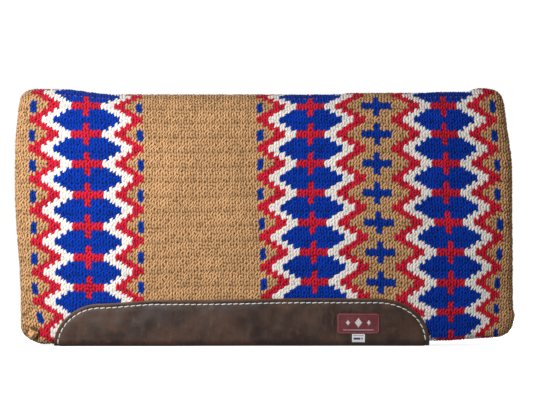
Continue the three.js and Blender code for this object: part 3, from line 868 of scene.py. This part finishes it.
# ---- maker's patch and ribbon
LABEL_RAISED = 2.0 * MM
LABEL_MIDDLE = ((label_low.x + label_high.x) / 2, (label_low.z + label_high.z) / 2 + LABEL_RAISED)
LABEL_SIZE = (label_high.x - label_low.x, label_high.z - label_low.z)
LABEL_THICK = 1.1 * MM
FAR_FROM_CUT = 0.030
UNPRINTED = -0.020


def on_near_leather(x, z, lifted):
    """A point that far above the near leather's outer face."""
    run = run_to_height(z, OUTER_BEND)
    return hide_points(x, run, LEATHER / 2 + lifted, NEAR, np.full(np.shape(x), FAR_FROM_CUT))


def patch_grid(width, height, corner, columns, rows):
    """A flat grid with round corners: its points, their distance from its edge, and its quads."""
    u, v = np.meshgrid(np.linspace(-1, 1, columns), np.linspace(-1, 1, rows), indexing="ij")
    x, z, over = round_corners(u * width / 2, v * height / 2, width / 2, height / 2, corner)
    return x.ravel(), z.ravel(), corner * (1 - over).ravel(), grid_quads(numbered(columns, rows))


def make_label():
    """The maker's patch, whose edges are rounded down onto the leather."""
    corner, bevel, sunk = 5.0 * MM, 1.2 * MM, 0.15 * MM
    x, z, from_edge, quads = patch_grid(*LABEL_SIZE, corner, 121, 71)
    crest = np.sqrt(np.clip(1 - (1 - np.clip(from_edge / bevel, 0, 1)) ** 2, 0, 1))
    lifted = (LABEL_THICK + sunk) * crest - sunk
    label = make_mesh("maker_patch", on_near_leather(LABEL_MIDDLE[0] + x, LABEL_MIDDLE[1] + z, lifted), quads)
    set_uv(label, "Patch", x, z)
    set_value(label, "from_edge", from_edge / MM)
    ride_on_side(label, "near", label_material(), "label_leather", "maker_label")


def make_label_stitching():
    """Small stitches all round the patch, just inside its edge."""
    inset, corner = 2.2 * MM, 2.9 * MM
    straight_x, straight_z = LABEL_SIZE[0] / 2 - inset - corner, LABEL_SIZE[1] / 2 - inset - corner
    outline = []
    for sign_x, sign_z, start in ((1, 1, 0), (-1, 1, 90), (-1, -1, 180), (1, -1, 270)):
        turn = np.radians(start + 15 * np.arange(7))
        arc_x, arc_z = corner * np.cos(turn), corner * np.sin(turn)
        outline.append(np.stack([sign_x * straight_x + arc_x, sign_z * straight_z + arc_z], axis=-1))
    outline = np.concatenate([*outline, outline[0][:1]])
    walked = walk(outline)

    def place(run, aside, up):
        x = LABEL_MIDDLE[0] + np.interp(run, walked, outline[:, 0])
        z = LABEL_MIDDLE[1] + np.interp(run, walked, outline[:, 1])
        return on_near_leather(x, z, LABEL_THICK + up)

    threads = Threads()
    stitches_on(threads, place, walked[-1], 3.3 * MM, 2.3 * MM, 0.44 * MM, slant=0.0, stand=0.7, seed=15)
    stitching = threads.build("patch_stitches")
    ride_on_side(stitching, "near", thread_material("patch thread"), "label_thread", "label_stitching")


def motif_blocks():
    """A plain motif: a large stepped diamond between two small ones, over a line.

    Each block is its middle, from the patch's, and its width and height.
    """
    blocks = [(0.0, -10.4 * MM, 50 * MM, 0.8 * MM)]
    step_width, step_height, diamond_z, apart = 1.35 * MM, 1.75 * MM, 1.6 * MM, 17.0 * MM
    for middle, steps in ((0.0, 4), (-apart, 2), (apart, 2)):
        for step in range(-steps, steps + 1):
            width = (2 * (steps - abs(step)) + 1) * step_width
            blocks.append((middle, diamond_z + step * step_height, width, 0.95 * step_height))
    return blocks


def make_motif():
    """The motif, in satin stitch that stands a little above the patch."""
    thread, sunk, proud, bevel = 0.6 * MM, 0.06 * MM, 0.20 * MM, 0.18 * MM
    points, quads, u, v = [], [], [], []
    count = 0
    for x0, z0, width, height in motif_blocks():
        columns = max(5, round(width / thread))
        x, z, from_edge, block = patch_grid(width, height, 0.3 * min(width, height), columns, 5)
        lifted = LABEL_THICK - sunk + (sunk + proud) * np.clip(from_edge / bevel, 0, 1)
        points.append(on_near_leather(LABEL_MIDDLE[0] + x0 + x, LABEL_MIDDLE[1] + z0 + z, lifted))
        quads.append(block + count)
        u.append(x0 + x)
        v.append(z0 + z)
        count += len(x)
    motif = make_mesh("patch_motif", np.concatenate(points), np.concatenate(quads))
    set_uv(motif, "Patch", np.concatenate(u), np.concatenate(v))
    ride_on_side(motif, "near", motif_material(), "label_thread")


def make_tag():
    """A short folded ribbon that hangs from under the patch: a loop of cloth, front, fold and back."""
    width, middle = 0.93 * (tag_high.x - tag_low.x), (tag_high.x + tag_low.x) / 2
    top, bottom = tag_high.z + 0.6 * MM + LABEL_RAISED, tag_low.z + 0.8 * MM + LABEL_RAISED
    stand, fold, cloth, stations = 0.95 * MM, 0.34 * MM, 0.16 * MM, 26
    drop = np.linspace(top, bottom, stations)
    turn = np.linspace(0, math.pi, 9)[1:-1]
    whole = np.ones(stations)
    heights = np.concatenate([drop, bottom - fold * np.sin(turn), drop[::-1]])
    lifts = np.concatenate([stand * whole, stand - fold + fold * np.cos(turn), (stand - 2 * fold) * whole])
    inwards = cloth * np.concatenate([-whole, -np.cos(turn), whole])
    heights = np.concatenate([heights, heights[::-1]])
    lifts = np.concatenate([lifts, (lifts + inwards)[::-1]])
    across = np.linspace(-width / 2, width / 2, 24)[:, None]
    x = middle + np.repeat(across, len(heights), axis=1)
    z = np.repeat(heights[None, :], len(across), axis=0)
    curl = 0.22 * MM * (across / (width / 2)) ** 2 + 0.12 * MM * np.sin(across / (5.2 * MM))
    hang = np.clip((top - z) / (top - bottom), 0, 1)
    points = on_near_leather(x, z, lifts[None, :] + curl * hang)
    tag = make_mesh("folded_ribbon", points.reshape(-1, 3), grid_quads(closed(numbered(*x.shape))))
    on_front = np.arange(len(heights)) < stations + 4
    set_uv(tag, "Ribbon", (x - middle).ravel(), np.where(on_front[None, :], z - bottom, UNPRINTED).ravel())
    ride_on_side(tag, "near", ribbon_material(), "ribbon", "ribbon_tag")


# ---- shader helpers
class Value:
    """What a node gives out. It can be reckoned with like a number, and each operation adds a math node."""

    def __init__(self, shader, socket):
        self.shader, self.socket = shader, socket

    def __add__(self, other):
        return self.shader.math("ADD", self, other)

    def __sub__(self, other):
        return self.shader.math("SUBTRACT", self, other)

    def __rsub__(self, other):
        return self.shader.math("SUBTRACT", other, self)

    def __mul__(self, other):
        return self.shader.math("MULTIPLY", self, other)

    def __truediv__(self, other):
        return self.shader.math("DIVIDE", self, other)

    def __mod__(self, other):
        return self.shader.math("FLOORED_MODULO", self, other)

    def __pow__(self, other):
        return self.shader.math("POWER", self, other)

    def __lt__(self, other):
        return self.shader.math("LESS_THAN", self, other)

    def __abs__(self):
        return self.shader.math("ABSOLUTE", self)

    __rmul__ = __mul__


class Shader:
    """A material's node tree, with short calls that add a node and return its value."""

    def __init__(self, name):
        self.material = bpy.data.materials.new(name)
        self.material.use_nodes = True
        self.tree = self.material.node_tree
        self.surface = self.tree.nodes["Principled BSDF"]

    def plug(self, socket, value):
        if isinstance(value, Value):
            self.tree.links.new(value.socket, socket)
        else:
            socket.default_value = value

    def node(self, kind, *inputs, output=0, named=None, **settings):
        """Adds a node: its inputs in order, those named, and its settings. Returns one of its outputs."""
        made = self.tree.nodes.new(kind)
        for key, value in settings.items():
            setattr(made, key, value)
        for socket, value in zip(made.inputs, inputs):
            self.plug(socket, value)
        for key, value in (named or {}).items():
            self.plug(made.inputs[key], value)
        return Value(self, made.outputs[output])

    def math(self, operation, *values):
        return self.node("ShaderNodeMath", *values, operation=operation)

    def sine(self, value):
        return self.math("SINE", value)

    def floor(self, value):
        return self.math("FLOOR", value)

    def least(self, *values):
        return self.math("MINIMUM", *values)

    def most(self, *values):
        return self.math("MAXIMUM", *values)

    def uv(self, layer):
        """The two coordinates of a UV layer, and the layer as a vector."""
        vector = self.node("ShaderNodeUVMap", uv_map=layer)
        u, v = (self.node("ShaderNodeSeparateXYZ", vector, output=axis) for axis in (0, 1))
        return u, v, vector

    def attribute(self, name):
        return self.node("ShaderNodeAttribute", output="Fac", attribute_name=name)

    def vector(self, x, y, z=0.0):
        return self.node("ShaderNodeCombineXYZ", x, y, z)

    def noise(self, vector, scale, detail=2.0, roughness=0.5):
        named = {"Vector": vector, "Scale": scale, "Detail": detail, "Roughness": roughness}
        return self.node("ShaderNodeTexNoise", named=named)

    def cells(self, vector, scale, feature):
        named = {"Vector": vector, "Scale": scale}
        return self.node("ShaderNodeTexVoronoi", output="Distance", named=named, feature=feature)

    def random(self, *pair):
        return self.node("ShaderNodeTexWhiteNoise", self.vector(*pair), output="Value", noise_dimensions="2D")

    def remap(self, value, low, high, to_low, to_high):
        inputs = (value, low, high, to_low, to_high)
        return self.node("ShaderNodeMapRange", *inputs, interpolation_type="SMOOTHSTEP")

    def mix(self, share, first, second, blend="MIX"):
        named = {"Factor": share, "A": first, "B": second}
        return self.node("ShaderNodeMix", output="Result", named=named, data_type="RGBA", blend_type=blend)

    def fade(self, value, low, high, first, second, share=1.0):
        """The first colour where the value is low, going over to a share of the second where it is high."""
        return self.mix(self.remap(value, low, high, 0.0, share), first, second)

    def shade(self, colour, factor):
        """The colour times a number."""
        return self.mix(1.0, colour, self.vector(factor, factor, factor), "MULTIPLY")

    def bump(self, height, distance, strength):
        named = {"Height": height, "Distance": distance, "Strength": strength}
        self.plug(self.surface.inputs["Normal"], self.node("ShaderNodeBump", named=named))

    def finish(self, colour, roughness, **sockets):
        sockets = {"Base Color": colour, "Roughness": roughness, **sockets}
        for name, value in sockets.items():
            self.plug(self.surface.inputs[name.replace("_", " ")], value)
        return self.material


def srgb(red, green, blue):
    """A colour given as 0 to 255 screen values, as the linear colour a shader takes."""
    def linear(c):
        c = c / 255
        return c / 12.92 if c <= 0.04045 else ((c + 0.055) / 1.055) ** 2.4
    return (linear(red), linear(green), linear(blue), 1.0)


# ---- materials
TAN = srgb(222, 174, 127)
# Painted shade: the warm tint that the gaps between floats are multiplied by.
WARM_GAP_SHADE = (1.0, 0.86, 0.52, 1.0)
BLUE = srgb(2, 62, 186)
RED = srgb(234, 36, 64)
WHITE = srgb(252, 245, 236)
RED_REACH, WHITE_REACH, BLUE_REACH, SQUARE_AWAY = 13, 9, 5, 18


def weave_pattern(s, column, row):
    """The colour of each float, and whether it is in a white ring or plain ground.

    A diamond is widest at the middle of a repeat, and its red, white and blue widen a tooth at a time.
    """
    phase = s.floor((row - PHASE_SHIFT) % ROWS_IN_REPEAT)
    step = s.least(phase, (ROWS_IN_REPEAT - 1) - phase)
    on_bar, on_stem = step < 0.5, step < 2.5
    tooth = column + 0.5
    front, middle, rear, cross = (
        tooth - at for at in (FRONT_COLUMN, MIDDLE_COLUMN, REAR_COLUMN, CROSS_COLUMN)
    )
    nearest = s.least(s.least(abs(front), abs(middle)), abs(rear))

    def inside(reach):
        return nearest < step * 2.0 + reach

    colour = s.mix(inside(RED_REACH), TAN, RED)
    colour = s.mix(inside(WHITE_REACH), colour, WHITE)
    colour = s.mix(inside(BLUE_REACH), colour, BLUE)
    colour = s.mix(s.most(inside(BLUE_REACH) * on_bar, (nearest < 1.0) * on_stem), colour, RED)
    beside_front = s.most(abs(front - SQUARE_AWAY) < 1.0, abs(front + SQUARE_AWAY) < 1.0)
    beside_others = s.most(abs(middle + SQUARE_AWAY) < 1.0, abs(rear - SQUARE_AWAY) < 1.0)
    square = s.most(beside_front, beside_others) * s.most(on_bar, abs(phase - 1.0) < 0.5)
    cross = s.most((abs(cross) < 5.0) * on_bar, (abs(cross) < 1.0) * on_stem)
    blue = s.most(square, cross)
    white_ring = (inside(WHITE_REACH) - inside(BLUE_REACH)) * (1.0 - blue)
    return s.mix(blue, colour, BLUE), white_ring, 1.0 - inside(RED_REACH)


@cache
def wool_material():
    """Woven wool: each float its own tone, with fibres, painted shade in the gaps between floats, in a row of
    hollows every four rows and in the crease round the knot, and a slight painted highlight on the float
    crowns.
    """
    s = Shader("woven wool")
    teeth, rows, vector = s.uv("Weave")
    column, row, across, along = float_cell(teeth, rows, s.floor)
    colour, white_ring, ground = weave_pattern(s, column, row)

    each, other = s.random(column, row), s.random(row, column)
    lean = s.remap(each, 0.0, 1.0, LEAST_LEAN, MOST_LEAN)
    leaning = (across + lean * along) / FLOAT_WIDTH
    crown = s.math("SQRT", s.most(1.0 - leaning * leaning - abs(along) ** 4.0, 0.0))
    # Painted shade: on the plain ground the gaps between floats are tinted warmer and darker.
    depth = ground * s.remap(crown, 0.0, 0.9, 1.0, 0.0)
    colour = s.mix(depth, colour, s.mix(1.0, colour, WARM_GAP_SHADE, "MULTIPLY"))
    fibre = s.noise(s.vector(across * 3.0, rows * 2.2), 3.0, 3.0, 0.6)
    # Painted shade: a darker line along a row of hollows every four rows.
    hollows = s.math("COSINE", (rows - 0.6) * (math.pi / 2))
    # Painted shade in the gaps between floats, and a slight painted highlight on their crowns.
    shade = s.remap(crown, 0.0, 0.85, 0.23, 1.07)
    shade *= s.remap(each, 0.0, 1.0, 0.78, 1.08)
    shade *= s.remap(other, 0.0, 0.14, 0.74, 1.0)
    shade *= s.remap(hollows, 0.5, 1.0, 1.03, 0.86)
    shade *= s.remap(fibre, 0.25, 0.75, 0.84, 1.1)
    shade *= s.remap(s.noise(vector, 0.07), 0.3, 0.7, 0.93, 1.05)
    # Painted shadow: the crease round the knot and the pleat above it are darkened.
    shade *= s.remap(s.attribute("crease"), 0.25, 0.95, 1.0, 0.26)
    # The white ring keeps less of this painted shade and highlight.
    paler = shade * 0.56 + 0.50
    shade += white_ring * (paler - shade)
    ply = s.sine(along * 5.5 + across * 5.0)
    s.bump(ply * 0.35 + fibre * 1.4, 0.35 * MM, 0.6)
    sheen = {"Sheen_Weight": 0.05, "Sheen_Roughness": 0.6}
    return s.finish(s.shade(colour, shade), 0.95, Specular_IOR_Level=0.1, **sheen)


@cache
def leather_material():
    """Oiled brown leather: cloudy, scuffed, darker in the stitch groove and paler on the cut edge."""
    s = Shader("oiled leather")
    along, around, vector = s.uv("Hide")
    from_cut = s.attribute("from_cut")
    clouds = s.noise(vector, 14.0, 4.0, 0.62)
    patches = s.noise(vector, 42.0, 3.0, 0.6)
    streaks = s.noise(s.vector(along * 90.0, around * 22.0), 1.0, 4.0, 0.6)
    rubs = s.noise(s.vector(along * 34.0, around * 9.0, 5.0), 1.0, 5.0, 0.68)
    mottle = s.noise(vector, 240.0, 4.0, 0.7)
    pores = s.remap(s.cells(vector, 900.0, "DISTANCE_TO_EDGE"), 0.0, 0.10, 0.0, 1.0)
    colour = s.fade(clouds, 0.36, 0.66, srgb(50, 34, 29), srgb(82, 57, 44))
    colour = s.fade(patches, 0.54, 0.72, colour, srgb(99, 66, 44), 0.6)
    colour = s.fade(rubs, 0.54, 0.72, colour, srgb(104, 76, 54), 0.6)
    colour = s.fade(streaks, 0.58, 0.74, colour, srgb(33, 23, 21), 0.6)
    colour = s.shade(colour, s.remap(mottle, 0.3, 0.7, 0.84, 1.12))
    colour = s.fade(from_cut, 2.0, 0.4, colour, srgb(112, 72, 44), 0.75)
    colour = s.fade(abs(from_cut - STITCH_INSET / MM), 2.2, 0.4, colour, srgb(34, 25, 21), 0.55)
    s.bump(pores * 0.25 + streaks * 0.9, 0.25 * MM, 0.55)
    return s.finish(colour, s.remap(clouds, 0.3, 0.7, 0.42, 0.60), Specular_IOR_Level=0.42)


@cache
def felt_material():
    """Pale grey pressed felt with stray darker fibres."""
    s = Shader("pressed felt")
    along, around, vector = s.uv("Slab")
    fibres = s.noise(vector, 700.0, 3.0, 0.7)
    hairs = s.noise(s.vector(along * 900.0, around * 160.0), 1.0, 2.0, 0.6)
    colour = s.fade(s.noise(vector, 60.0, 3.0, 0.6), 0.3, 0.7, srgb(176, 170, 158), srgb(205, 199, 187))
    colour = s.fade(hairs, 0.62, 0.72, colour, srgb(112, 106, 98), 0.5)
    s.bump(fibres + hairs * 0.6, 0.4 * MM, 0.7)
    sheen = {"Sheen_Weight": 0.2, "Sheen_Roughness": 0.7}
    return s.finish(colour, 0.97, Specular_IOR_Level=0.15, **sheen)


@cache
def foam_material():
    """Dark closed-cell foam."""
    s = Shader("closed-cell foam")
    vector = s.uv("Slab")[2]
    colour = s.fade(s.noise(vector, 30.0), 0.3, 0.7, srgb(66, 68, 72), srgb(84, 86, 90))
    s.bump(s.cells(vector, 800.0, "F1"), 0.3 * MM, 0.6)
    return s.finish(colour, 0.85, Specular_IOR_Level=0.3)


# Each thread: the colour of its strands, the painted shade between them, its roughness and its twist in turns
# per metre.
THREADS = {
    "waxed thread": (srgb(252, 250, 244), srgb(196, 192, 182), 0.6, 320),
    "tan thread": (srgb(196, 150, 104), srgb(120, 86, 54), 0.85, 320),
    "patch thread": (srgb(204, 150, 150), srgb(136, 84, 88), 0.7, 320),
    "wool yarn": (srgb(226, 174, 122), srgb(128, 90, 54), 0.93, 60),
}


@cache
def thread_material(name):
    """Plied thread: slanting strands in their own colour on their crowns, with painted shade darkening the
    grooves between them.
    """
    light, dark, roughness, turns_per_m = THREADS[name]
    s = Shader(name)
    along, around = s.uv("Thread")[:2]
    strand = abs(s.sine((around - along * turns_per_m) * (2 * math.pi)))
    fuzz = s.noise(s.vector(along * 2500.0, around * 9.0), 1.0)
    # Painted shade: darker in the grooves between strands.
    colour = s.shade(s.fade(strand, 0.05, 0.6, dark, light), s.remap(fuzz, 0.3, 0.7, 0.88, 1.05))
    s.bump(strand + fuzz * 0.3, 0.2 * MM, 0.6)
    return s.finish(colour, roughness, Specular_IOR_Level=0.3)


@cache
def label_material():
    """Smooth maroon leather with a fine grain and a darker edge."""
    s = Shader("maroon patch")
    vector = s.uv("Patch")[2]
    colour = s.fade(s.noise(vector, 90.0, 3.0, 0.6), 0.3, 0.7, srgb(106, 44, 50), srgb(124, 54, 60))
    colour = s.fade(s.attribute("from_edge"), 0.9, 0.1, colour, srgb(72, 28, 33), 0.6)
    s.bump(s.noise(vector, 1600.0, 2.0, 0.6), 0.12 * MM, 0.5)
    return s.finish(colour, 0.55, Specular_IOR_Level=0.4)


@cache
def motif_material():
    """White satin stitch: fine threads running across each block."""
    s = Shader("satin stitch")
    lines = abs(s.sine(s.uv("Patch")[0] * 9000.0))
    colour = s.fade(lines, 0.0, 0.5, srgb(196, 190, 186), srgb(240, 238, 234))
    s.bump(lines, 0.08 * MM, 0.5)
    return s.finish(colour, 0.5, Specular_IOR_Level=0.4)


@cache
def ribbon_material():
    """White satin ribbon with plain woven bars."""
    s = Shader("woven ribbon")
    along, around = s.uv("Ribbon")[:2]
    ribs = abs(s.sine(around * 9500.0))
    colour = s.fade(ribs, 0.0, 0.5, srgb(214, 218, 224), srgb(244, 246, 248))
    bars = [
        (0.0, 9.6 * MM, 8.2 * MM, 0.55 * MM, srgb(70, 88, 132)),
        (-2.4 * MM, 4.9 * MM, 5.6 * MM, 1.7 * MM, srgb(38, 56, 112)),
        (5.9 * MM, 4.9 * MM, 1.7 * MM, 1.5 * MM, srgb(196, 92, 108)),
    ]
    for x, z, half_wide, half_high, woven in bars:
        colour = s.mix((abs(along - x) < half_wide) * (abs(around - z) < half_high), colour, woven)
    s.bump(ribs, 0.08 * MM, 0.5)
    return s.finish(colour, 0.45, Sheen_Weight=0.1, Specular_IOR_Level=0.5)


# ---- room
def make_camera():
    """Square on to the near side, from far off, aimed just behind the pad's middle and above its waist."""
    face_width_seen = 0.873
    aim_x, aim_z = 0.0057, 0.238
    camera = bpy.data.cameras.new("camera")
    camera.lens = 250
    camera.sensor_width = 36
    distance = face_width_seen * camera.lens / camera.sensor_width
    made = bpy.data.objects.new("camera", camera)
    made.location = (aim_x, -WOOL_FACE_AT_BOTTOM - distance, aim_z)
    made.rotation_euler = (math.pi / 2, 0, 0)
    bpy.context.scene.collection.objects.link(made)
    bpy.context.scene.camera = made


def make_floor():
    """A pale floor, which doesn't throw light back up at the pad."""
    spread = 30.0
    corners = [(-spread, -spread, 0), (spread, -spread, 0), (spread, spread, 0), (-spread, spread, 0)]
    floor = make_mesh("floor", corners, [(0, 1, 2, 3)])
    floor.visible_diffuse = False
    floor.visible_glossy = False
    s = Shader("pale floor")
    floor.data.materials.append(
        s.finish(srgb(246, 246, 246), 0.9, Emission_Color=(1, 1, 1, 1), Emission_Strength=0.80)
    )


def area_light(name, place, aim, size, power, colour=(1, 1, 1)):
    light = bpy.data.lights.new(name, "AREA")
    light.shape = "DISK"
    light.size = size
    light.energy = power
    light.color = colour
    made = bpy.data.objects.new(name, light)
    made.location = place
    direction = np.array(aim) - np.array(place)
    made.rotation_euler = Vector(direction).to_track_quat("-Z", "Y").to_euler()
    bpy.context.scene.collection.objects.link(made)


def make_lights():
    """A soft lamp in front to the left and a weaker one behind, in a dim studio that looks white."""
    fill, backdrop = 0.24, 1.0
    world = bpy.data.worlds.new("studio")
    world.use_nodes = True
    tree = world.node_tree
    paths = tree.nodes.new("ShaderNodeLightPath")
    strength = tree.nodes.new("ShaderNodeMapRange")
    strength.inputs["To Min"].default_value = fill
    strength.inputs["To Max"].default_value = backdrop
    tree.links.new(paths.outputs["Is Camera Ray"], strength.inputs["Value"])
    tree.links.new(strength.outputs["Result"], tree.nodes["Background"].inputs["Strength"])
    tree.nodes["Background"].inputs["Color"].default_value = (1, 1, 1, 1)
    bpy.context.scene.world = world
    area_light("key", (-0.62, -0.90, 0.55), (-0.1, 0.0, 0.2), 0.45, 11)
    area_light("back fill", (0.55, 1.30, 0.35), (0.0, 0.0, 0.15), 0.8, 9)
    bpy.context.scene.view_settings.view_transform = "Standard"


# ---- putting it together
make_camera()
make_floor()
make_lights()
for side in SIDES.values():
    SLACK[side] = simulate_slack(side)
for side_name in SIDES:
    make_foam(side_name)
    make_felt(side_name)
    make_wool(side_name)
    make_leather(side_name)
    make_leather_stitching(side_name)
    make_spine_stitching(side_name)
    make_hem_stitching(side_name)
    make_knot(side_name)
make_label()
make_label_stitching()
make_motif()
make_tag()
